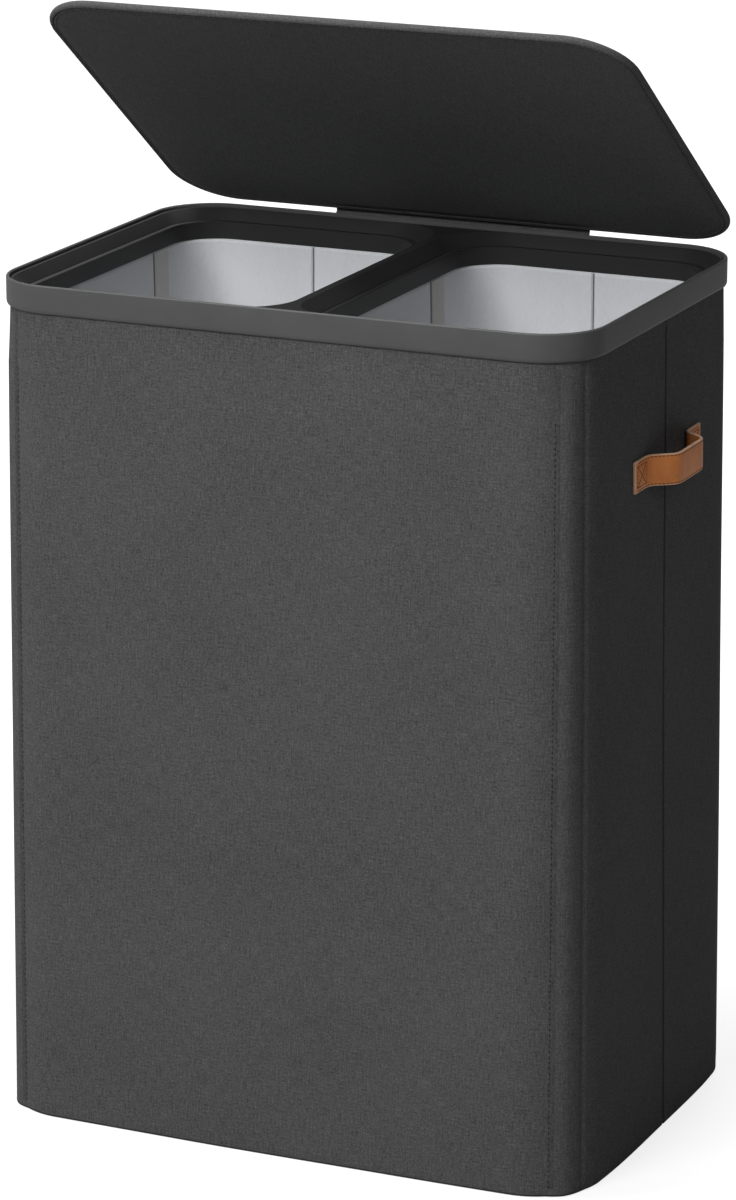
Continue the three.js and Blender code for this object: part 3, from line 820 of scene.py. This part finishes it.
def bag_size(shape, height, inset):
    """Width, depth and corner radius of the bag at a height; it narrows and rounds towards its foot."""
    _, size, low, high = shape
    share = (height - low) / (high - low)
    below = max(BAG_FOOT - (height - low), 0.0)
    tuck = BAG_FOOT - math.sqrt(max(BAG_FOOT ** 2 - below ** 2, 0.0))
    radius = BAG_FOOT_RADIUS + (BAG_TOP_RADIUS - BAG_FOOT_RADIUS) * share - tuck * BAG_FOOT_TURN
    draw = BAG_NARROWING * (1 - share) + tuck + inset
    return size[0] - 2 * draw, size[1] - 2 * draw, radius - inset


def bag_bend(share, width, place):
    """How far the centre seam wanders along the front and back, as a share of half their width."""
    wander = BAG_SEAM_WANDER * (1 - math.cos(BAG_SEAM_TURNS * share * math.pi))
    return wander / (width / 2) * (1 - place ** 2)


def bag_seams(stations, size, tape, seam):
    """Welts at the seams, with a fold beside the centre one; tape and seam are shares of a wall."""
    width, depth, radius = size
    on_side, on_front = flat_walls(stations)
    half_depth, half_width = depth / 2 - radius, width / 2 - radius
    along = np.abs(stations[:, 1]) * half_depth - tape * half_depth
    across = stations[:, 0] * half_width - seam * half_width
    total = np.where(on_side, BAG_TAPE_WELT * hump(along, BAG_WELT_WIDTH), 0)
    total += np.where(on_front, BAG_SEAM_WELT * hump(across, BAG_WELT_WIDTH), 0)
    return total - np.where(on_front, BAG_FOLD_DEPTH * hump(across + BAG_FOLD_PLACE, BAG_FOLD_WIDTH), 0)


def bag_strip(shape, facing, place, lifts, seed):
    """The rings of a strip that lies down one wall of the bag.

    The wall faces x or y. The place is a share of the wall's half width and the strip's edges from
    there, and the lifts are its two faces.
    """
    middle, _, low, high = shape
    share_out, edges = place
    rings = []
    stop, last = (high - drop for drop in BAG_STRIP_ENDS)
    for height in [*np.arange(low + BAG_ROW_STEP, stop, BAG_ROW_STEP), last]:
        width, depth, radius = bag_size(shape, height, BAG_INNER_INSET)
        share = sag_share(shape, height)
        if facing[0]:
            half = depth / 2 - radius
            local = np.array([(facing[0], share_out + e / half, facing[0], 0) for e in edges])
        else:
            half = width / 2 - radius
            bent = share_out + bag_bend(share, width, share_out)
            local = np.array([(bent + e / half, facing[1], 0, facing[1]) for e in edges])
        slack = bag_sag(local, share, seed) if height < high - BAG_HEM else 0.0
        outer, inner = (
            ring_points(local, width, depth, radius, height, slack + lift, middle[0]) for lift in lifts)
        rings.append(np.concatenate([outer, inner[::-1]]))
    return rings


def make_bag(node, name, seed):
    """A liner bag up the outside, over its edge and down the inside, with its tapes, its seams, and
    grey lines of painted shade along the seams.
    """
    shape = bag_shape(node)
    middle, size, low, high = shape
    tape = BAG_TAPE_PLACES[node] / (size[1] / 2 - BAG_TOP_RADIUS)
    seam = BAG_SEAM_PLACES[node] / (size[0] / 2 - BAG_TOP_RADIUS)
    stations = rounded_stations(
        *BAG_STEPS, front=((-seam, seam), BAG_SEAM_SPREAD), side=((-tape, tape), BAG_TAPE_SPREAD))
    on_front = flat_walls(stations)[1]
    rows = []
    for height in [*(low + rise for rise in BAG_OUTER_RISES), low + (high - low) * 0.5, high]:
        outside = bag_size(shape, height, BAG_OUTER_INSET)
        rows.append(ring_points(stations, *outside, height, 0.0, middle[0]))
    first, stop = high - BAG_INNER_SPAN[0], low + BAG_INNER_SPAN[1]
    inner = [high - drop for drop in BAG_INNER_DROPS]
    inner += [*np.arange(first, stop, -BAG_ROW_STEP), *(low + rise for rise in BAG_INNER_RISES)]
    for height in inner:
        share = sag_share(shape, height)
        width, depth, radius = bag_size(shape, height, BAG_INNER_INSET)
        bent = stations.copy()
        bent[:, 0] += np.where(on_front, bag_bend(share, width, bent[:, 0]), 0)
        above_floor = height > low + BAG_FLOOR_ZONE
        offset = bag_sag(bent, share, seed) if above_floor and height < high - BAG_HEM else 0.0
        if above_floor:
            offset = offset + bag_seams(stations, (width, depth, radius), tape, seam)
        offset = np.minimum(offset, BAG_SWELL_LIMIT)
        rows.append(ring_points(bent, width, depth, radius, height, offset, middle[0]))
    piece = make_object(name, np.concatenate(rows), loft_faces(rows))
    finish_piece(piece, lining_cloth, "hamper", [node])
    # Edges of the grey lines of painted shade along the tape seams and the centre seam
    thread = BAG_SHADOW_HALF_WIDTH * np.array((-1, 1))
    centre_shadow = BAG_CENTRE_SHADOW_HALF_WIDTH * np.array((-1, 1))
    tapes, seams = [], []
    for sy in (-1, 1):
        for sx in (-1, 1):
            place = (tape * sy, sy * BAG_TAPE_EDGES)
            tapes.append(bag_strip(shape, (sx, 0), place, BAG_TAPE_LIFTS, seed))
            seams.append(bag_strip(shape, (sx, 0), (tape * sy, thread), BAG_SHADOW_LIFTS, seed))
        seams.append(bag_strip(shape, (0, sy), (seam, centre_shadow), BAG_SHADOW_LIFTS, seed))
    make_strips(name + "_tapes", tapes, tape_cloth)
    make_strips(name + "_seams", seams, seam_shadow_grey)


make_bag("liner_bag_left", "bag_cloth_left", 3.0)
make_bag("liner_bag_right", "bag_cloth_right", 11.0)


# Lid

LID_WIDTH = RIM_SIZE[0] - 2 * LID_INSET
LID_DEPTH = RIM_SIZE[1] - 2 * LID_INSET
LID_LOW = RIM_TOP + LID_SEAT


def turn_to_rest(directions):
    """Turns directions given on the shut lid into the photographed pose."""
    a = math.radians(LID_OPEN)
    x, y, z = np.moveaxis(np.asarray(directions, float), -1, 0)
    return np.stack([x, y * math.cos(a) + z * math.sin(a), -y * math.sin(a) + z * math.cos(a)], -1)


def lid_to_rest(points):
    """Turns points given on the shut lid into the photographed pose."""
    hinge = np.array((0, HINGE_Y, HINGE_Z))
    return turn_to_rest(np.asarray(points, float) - hinge) + hinge


def lid_ring(inset, height):
    """A ring round the shut lid, at an inset from its edge and a height above its underside."""
    stations = rounded_stations(*LID_STEPS)
    return ring_points(stations, LID_WIDTH, LID_DEPTH, LID_RADIUS, LID_LOW + height, -inset)


def lid_profile():
    """From the middle of the underside round the edge to the top."""
    lower = [*LID_UNDERSIDE]
    lower += [(LID_BINDING + place, height) for place, height in LID_BINDING_STEP]
    lower += [(LID_SEAM_INSET + place, height) for place, height in LID_SEAM_GROOVE]
    for angle in LID_ROUNDING_ANGLES:
        a = math.radians(angle)
        lower.append((LID_ROUNDING * (1 - math.sin(a)), LID_ROUNDING * (1 - math.cos(a))))
    upper = [(inset, LID_THICKNESS - height) for inset, height in reversed(lower)]
    return lower + [(-LID_BULGE, LID_THICKNESS / 2)] + upper


def make_lid():
    """The covered board. Its cloth is laid out flat along the profile, so it runs on over the edge."""
    profile = lid_profile()
    rows = [lid_to_rest(lid_ring(inset, height)) for inset, height in profile]
    unrolled = arc_lengths(np.array(profile)) - profile[0][0]
    uvs = [(x * MM, y * MM) for reach in unrolled for x, y, _ in lid_ring(-reach, 0.0)]
    piece = make_object("lid_cloth", np.concatenate(rows), loft_faces(rows), uvs=uvs)
    covers = ["lid_cover_bottom", "lid_cover_top", "lid_binding"]
    finish_piece(piece, lid_cloth, "lid", covers)


def make_lid_stitches():
    """Thread along the binding's seam, below and above."""
    places = []
    for height, up in ((LID_STITCH_DEPTH, -1.0), (LID_THICKNESS - LID_STITCH_DEPTH, 1.0)):
        ring = lid_ring(LID_SEAM_INSET, height)
        for middle, along in spaced(np.vstack([ring, ring[:1]]), LID_STITCH_PITCH):
            places.append((lid_to_rest(middle), turn_to_rest(along), turn_to_rest((0, 0, up))))
    make_stitches(
        "lid_stitches", places, dark_thread_and_shade, "lid", LID_THREAD_WIDTH, LID_STITCH_LENGTH)


make_lid()
make_lid_stitches()


# Hinge strap

def path_normals(path):
    """Unit normals on the left of a flat path."""
    runs = np.gradient(path, axis=0)
    runs /= np.linalg.norm(runs, axis=1)[:, None]
    return np.stack([-runs[:, 1], runs[:, 0]], -1)


def smooth_path(points, steps):
    """A Catmull-Rom curve through the points."""
    p = np.asarray(points, float)
    p = np.vstack([2 * p[0] - p[1], p, 2 * p[-1] - p[-2]])
    found = []
    for k in range(1, len(p) - 2):
        for t in np.linspace(0, 1, steps, endpoint=False):
            found.append(0.5 * (2 * p[k] + (p[k + 1] - p[k - 1]) * t
                                + (2 * p[k - 1] - 5 * p[k] + 4 * p[k + 1] - p[k + 2]) * t ** 2
                                + (3 * p[k] - p[k - 1] - 3 * p[k + 1] + p[k + 2]) * t ** 3))
    found.append(p[-2])
    return np.array(found)


def strap_path():
    """The strap's middle line in Y and Z at rest: up behind the rim, round the fold and to the lid."""
    foot_y = rim_high[1] + WALL_GAP + STRAP_THICKNESS / 2
    points = [(foot_y, RIM_BOTTOM + rise) for rise in STRAP_ON_RIM]
    points += [(foot_y + y, HINGE_Z + z) for y, z in STRAP_TO_FOLD]
    on_lid = lid_to_rest([(0, HINGE_Y + y, HINGE_Z + z) for y, z in STRAP_ON_LID])
    return smooth_path([*points, *on_lid[:, 1:]], STRAP_PATH_STEPS)


def make_strap():
    """The strap of cloth that the lid hangs on; it bends across the joint."""
    path = strap_path()
    thick = path_normals(path) * STRAP_THICKNESS / 2
    section = np.vstack([path + thick, (path - thick)[::-1]])
    columns = np.linspace(-STRAP_WIDTH / 2, STRAP_WIDTH / 2, STRAP_COLUMNS)
    rows = [np.column_stack([np.full(len(section), x), section]) for x in columns]
    piece = make_object("hinge_cloth", np.concatenate(rows), loft_faces(rows))
    turn_outwards(piece)
    piece.data.materials.append(strap_cloth)
    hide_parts("hinge_strap_lower", "hinge_strap_upper")
    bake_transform(piece)


make_strap()


# Handles

def handle_path():
    """The strap's middle line from above: (distance from the wall, place along it)."""
    half = HANDLE_LENGTH / 2
    start = half - HANDLE_FLAP
    lift = HANDLE_THICKNESS / 2
    points = [(lift, half), (lift, half - HANDLE_FLAP / 2)]
    for share in np.linspace(0, 1, HANDLE_RISE_STEPS):
        rise = HANDLE_BOW * (1 - math.cos(math.pi * share)) / 2
        points.append((lift + rise, start - HANDLE_RISE * share))
    points.append((lift + HANDLE_BOW, (start - HANDLE_RISE) / 2))
    bent = np.array(points + [(x, -y) for x, y in reversed(points)])
    places = arc_lengths(bent)
    even = np.linspace(0, places[-1], HANDLE_STEPS)
    path = np.stack([np.interp(even, places, bent[:, k]) for k in (0, 1)], -1)
    for _ in range(HANDLE_SOFTENING):
        path[1:-1] = (path[:-2] + path[1:-1] + path[2:]) / 3
    return path


def on_wall(side, distance, along, height):
    """A point at a distance out of the side wall."""
    out = side * (sleeve_size(height)[0] / 2 + WALL_GAP + distance)
    return np.array((out, along + FOLD_BEHIND_MIDDLE, height))


def handle_section():
    """(out of the middle line, across the strap) round the strap's rounded section."""
    out = HANDLE_THICKNESS / 2 - HANDLE_ROUNDING
    across = HANDLE_HEIGHT / 2 - HANDLE_ROUNDING
    points = []
    corners = ((out, across, 0), (-out, across, 90), (-out, -across, 180), (out, -across, 270))
    for x, y, start in corners:
        for turn in HANDLE_ROUNDING_ANGLES:
            a = math.radians(start + turn)
            points.append((x + HANDLE_ROUNDING * math.cos(a), y + HANDLE_ROUNDING * math.sin(a)))
    return points


def make_handle(side, name, node):
    """A leather strap, with the paler cut edge all round it."""
    path = handle_path()
    section = handle_section()
    rows = []
    for (x, y), (nx, ny) in zip(path, path_normals(path)):
        rows.append([
            on_wall(side, x + nx * out, y + ny * out, HANDLE_CENTRE + up) for out, up in section])
    piece = make_object(name, np.concatenate(rows), loft_faces(rows))
    turn_outwards(piece)
    finish_piece(piece, tan_leather, "hamper", [node])
    piece.data.materials.append(leather_edge)
    for polygon in piece.data.polygons:
        corners = [piece.data.vertices[i].co for i in polygon.vertices]
        centre = sum(corners, Vector()) / len(corners)
        edge = abs(centre.z / MM - HANDLE_CENTRE) > HANDLE_HEIGHT / 2 - HANDLE_EDGE_FACES
        end = abs(centre.y / MM - FOLD_BEHIND_MIDDLE) > HANDLE_LENGTH / 2 - HANDLE_END_FACES
        if edge or end:
            polygon.material_index = 1


def make_handle_stitches(side, name):
    """Edge seams along the strap and a boxed cross on each end flap."""
    path = handle_path()
    outside = path + path_normals(path) * HANDLE_THICKNESS / 2
    kept = outside[np.abs(path[:, 1]) < HANDLE_LENGTH / 2 - HANDLE_SEAM_END]
    edge_places, box_places = [], []
    for end in (-1, 1):
        height = HANDLE_CENTRE + end * (HANDLE_HEIGHT / 2 - HANDLE_SEAM_INSET)
        line = [on_wall(side, x, y, height) for x, y in kept]
        for middle, along in spaced(line, HANDLE_SEAM_PITCH):
            out = np.cross(along, (0, 0, 1))
            out = out if out[0] * side > 0 else -out
            edge_places.append((middle, along, out))
    inset, inset_up = HANDLE_BOX_INSET
    near, far = HANDLE_LENGTH / 2 - HANDLE_FLAP + inset, HANDLE_LENGTH / 2 - inset
    low, high = (HANDLE_CENTRE + end * (HANDLE_HEIGHT / 2 - inset_up) for end in (-1, 1))
    a, b, c, d = (near, low), (far, low), (far, high), (near, high)
    for end in (-1, 1):
        for ends in ((a, b), (b, c), (c, d), (d, a), (a, c), (b, d)):
            line = [on_wall(side, HANDLE_THICKNESS, end * y, z) for y, z in ends]
            for middle, along in spaced(line, HANDLE_BOX_PITCH):
                box_places.append((middle, along, (side, 0, 0)))
    threads = (
        ("_edge_thread", edge_places, HANDLE_SEAM_THREAD),
        ("_box_thread", box_places, HANDLE_BOX_THREAD),
    )
    for part, places, width in threads:
        make_stitches(name + part, places, tan_thread, "hamper", width, HANDLE_STITCH_LENGTH)


for side, name in ((-1, "left"), (1, "right")):
    make_handle(side, "strap_" + name, "handle_" + name)
    make_handle_stitches(side, "strap_" + name)


# Moulded and hidden CAD nodes

def dress_node(node, material):
    """Gives a CAD node its finish; its curved faces are shaded as one, up to its sharper edges."""
    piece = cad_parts[node]
    piece.data.materials.clear()
    piece.data.materials.append(material)
    piece.data.polygons.foreach_set("use_smooth", [True] * len(piece.data.polygons))
    weld = piece.modifiers.new("weld", "WELD")
    weld.merge_threshold = WELD_DISTANCE
    split = piece.modifiers.new("edges", "EDGE_SPLIT")
    split.split_angle = math.radians(SHARP_ANGLE)


for node in ("rim_frame", "hinge_rivet_1", "hinge_rivet_2", "hinge_rivet_3", "hinge_rivet_4"):
    dress_node(node, rim_plastic)
for node in ("bag_tray", "bag_ring_left", "bag_ring_right"):
    dress_node(node, tray_plastic)
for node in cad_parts:
    if "board" in node:
        dress_node(node, fibreboard)


# Floor, world and light

def make_floor():
    """A grey floor that glows white to the camera, and less near the hamper, where its shadow lies."""
    corners = ((-1, -1), (1, -1), (1, 1), (-1, 1))
    vertices = [(x * FLOOR_REACH, y * FLOOR_REACH, FLOOR_HEIGHT) for x, y in corners]
    floor = make_object("floor", vertices, [(0, 1, 2, 3)], smooth=False)
    material, tree, shader = new_material("pale_floor")
    shader.inputs["Base Color"].default_value = (FLOOR_GREY, FLOOR_GREY, FLOOR_GREY, 1.0)
    shader.inputs["Roughness"].default_value = 0.9
    shader.inputs["Specular IOR Level"].default_value = 0.0
    light = add_node(tree, "ShaderNodeLightPath")
    mirrored = add_node(tree, "ShaderNodeMath", operation="MULTIPLY")
    mirrored.inputs[1].default_value = FLOOR_MIRRORED
    tree.links.new(light.outputs["Is Glossy Ray"], mirrored.inputs[0])
    seen = add_node(tree, "ShaderNodeMath", operation="MAXIMUM")
    tree.links.new(light.outputs["Is Camera Ray"], seen.inputs[0])
    tree.links.new(mirrored.outputs[0], seen.inputs[1])
    distance = add_node(tree, "ShaderNodeVectorMath", operation="LENGTH")
    tree.links.new(add_node(tree, "ShaderNodeTexCoord").outputs["Object"], distance.inputs[0])
    glow = add_node(tree, "ShaderNodeMapRange")
    for key, value in FLOOR_GLOW.items():
        glow.inputs[key].default_value = value
    tree.links.new(distance.outputs["Value"], glow.inputs["Value"])
    strength = add_node(tree, "ShaderNodeMath", operation="MULTIPLY")
    tree.links.new(glow.outputs["Result"], strength.inputs[1])
    tree.links.new(seen.outputs[0], strength.inputs[0])
    shader.inputs["Emission Color"].default_value = (1.0, 1.0, 1.0, 1.0)
    tree.links.new(strength.outputs[0], shader.inputs["Emission Strength"])
    floor.data.materials.append(material)


def make_world():
    """Soft even surroundings; the camera sees them as white."""
    world = bpy.data.worlds.new("studio")
    bpy.context.scene.world = world
    world.use_nodes = True
    tree = world.node_tree
    tree.nodes.clear()
    output = add_node(tree, "ShaderNodeOutputWorld")
    soft = add_node(tree, "ShaderNodeBackground")
    soft.inputs["Strength"].default_value = WORLD_SOFTNESS
    white = add_node(tree, "ShaderNodeBackground")
    white.inputs["Color"].default_value = (1.0, 1.0, 1.0, 1.0)
    white.inputs["Strength"].default_value = 1.0
    light = add_node(tree, "ShaderNodeLightPath")
    mix = add_node(tree, "ShaderNodeMixShader")
    tree.links.new(light.outputs["Is Camera Ray"], mix.inputs[0])
    tree.links.new(soft.outputs[0], mix.inputs[1])
    tree.links.new(white.outputs[0], mix.inputs[2])
    tree.links.new(mix.outputs[0], output.inputs["Surface"])


def make_lamp(name, place, aim, size, power):
    lamp = bpy.data.lights.new(name, "AREA")
    lamp.shape = "SQUARE"
    lamp.size = size
    lamp.energy = power
    holder = bpy.data.objects.new(name, lamp)
    bpy.context.scene.collection.objects.link(holder)
    holder.location = place
    holder.rotation_euler = (Vector(place) - Vector(aim)).to_track_quat("Z", "Y").to_euler()


make_floor()
make_world()
for lamp in LAMPS:
    make_lamp(*lamp)

bpy.context.scene.view_settings.view_transform = "Standard"
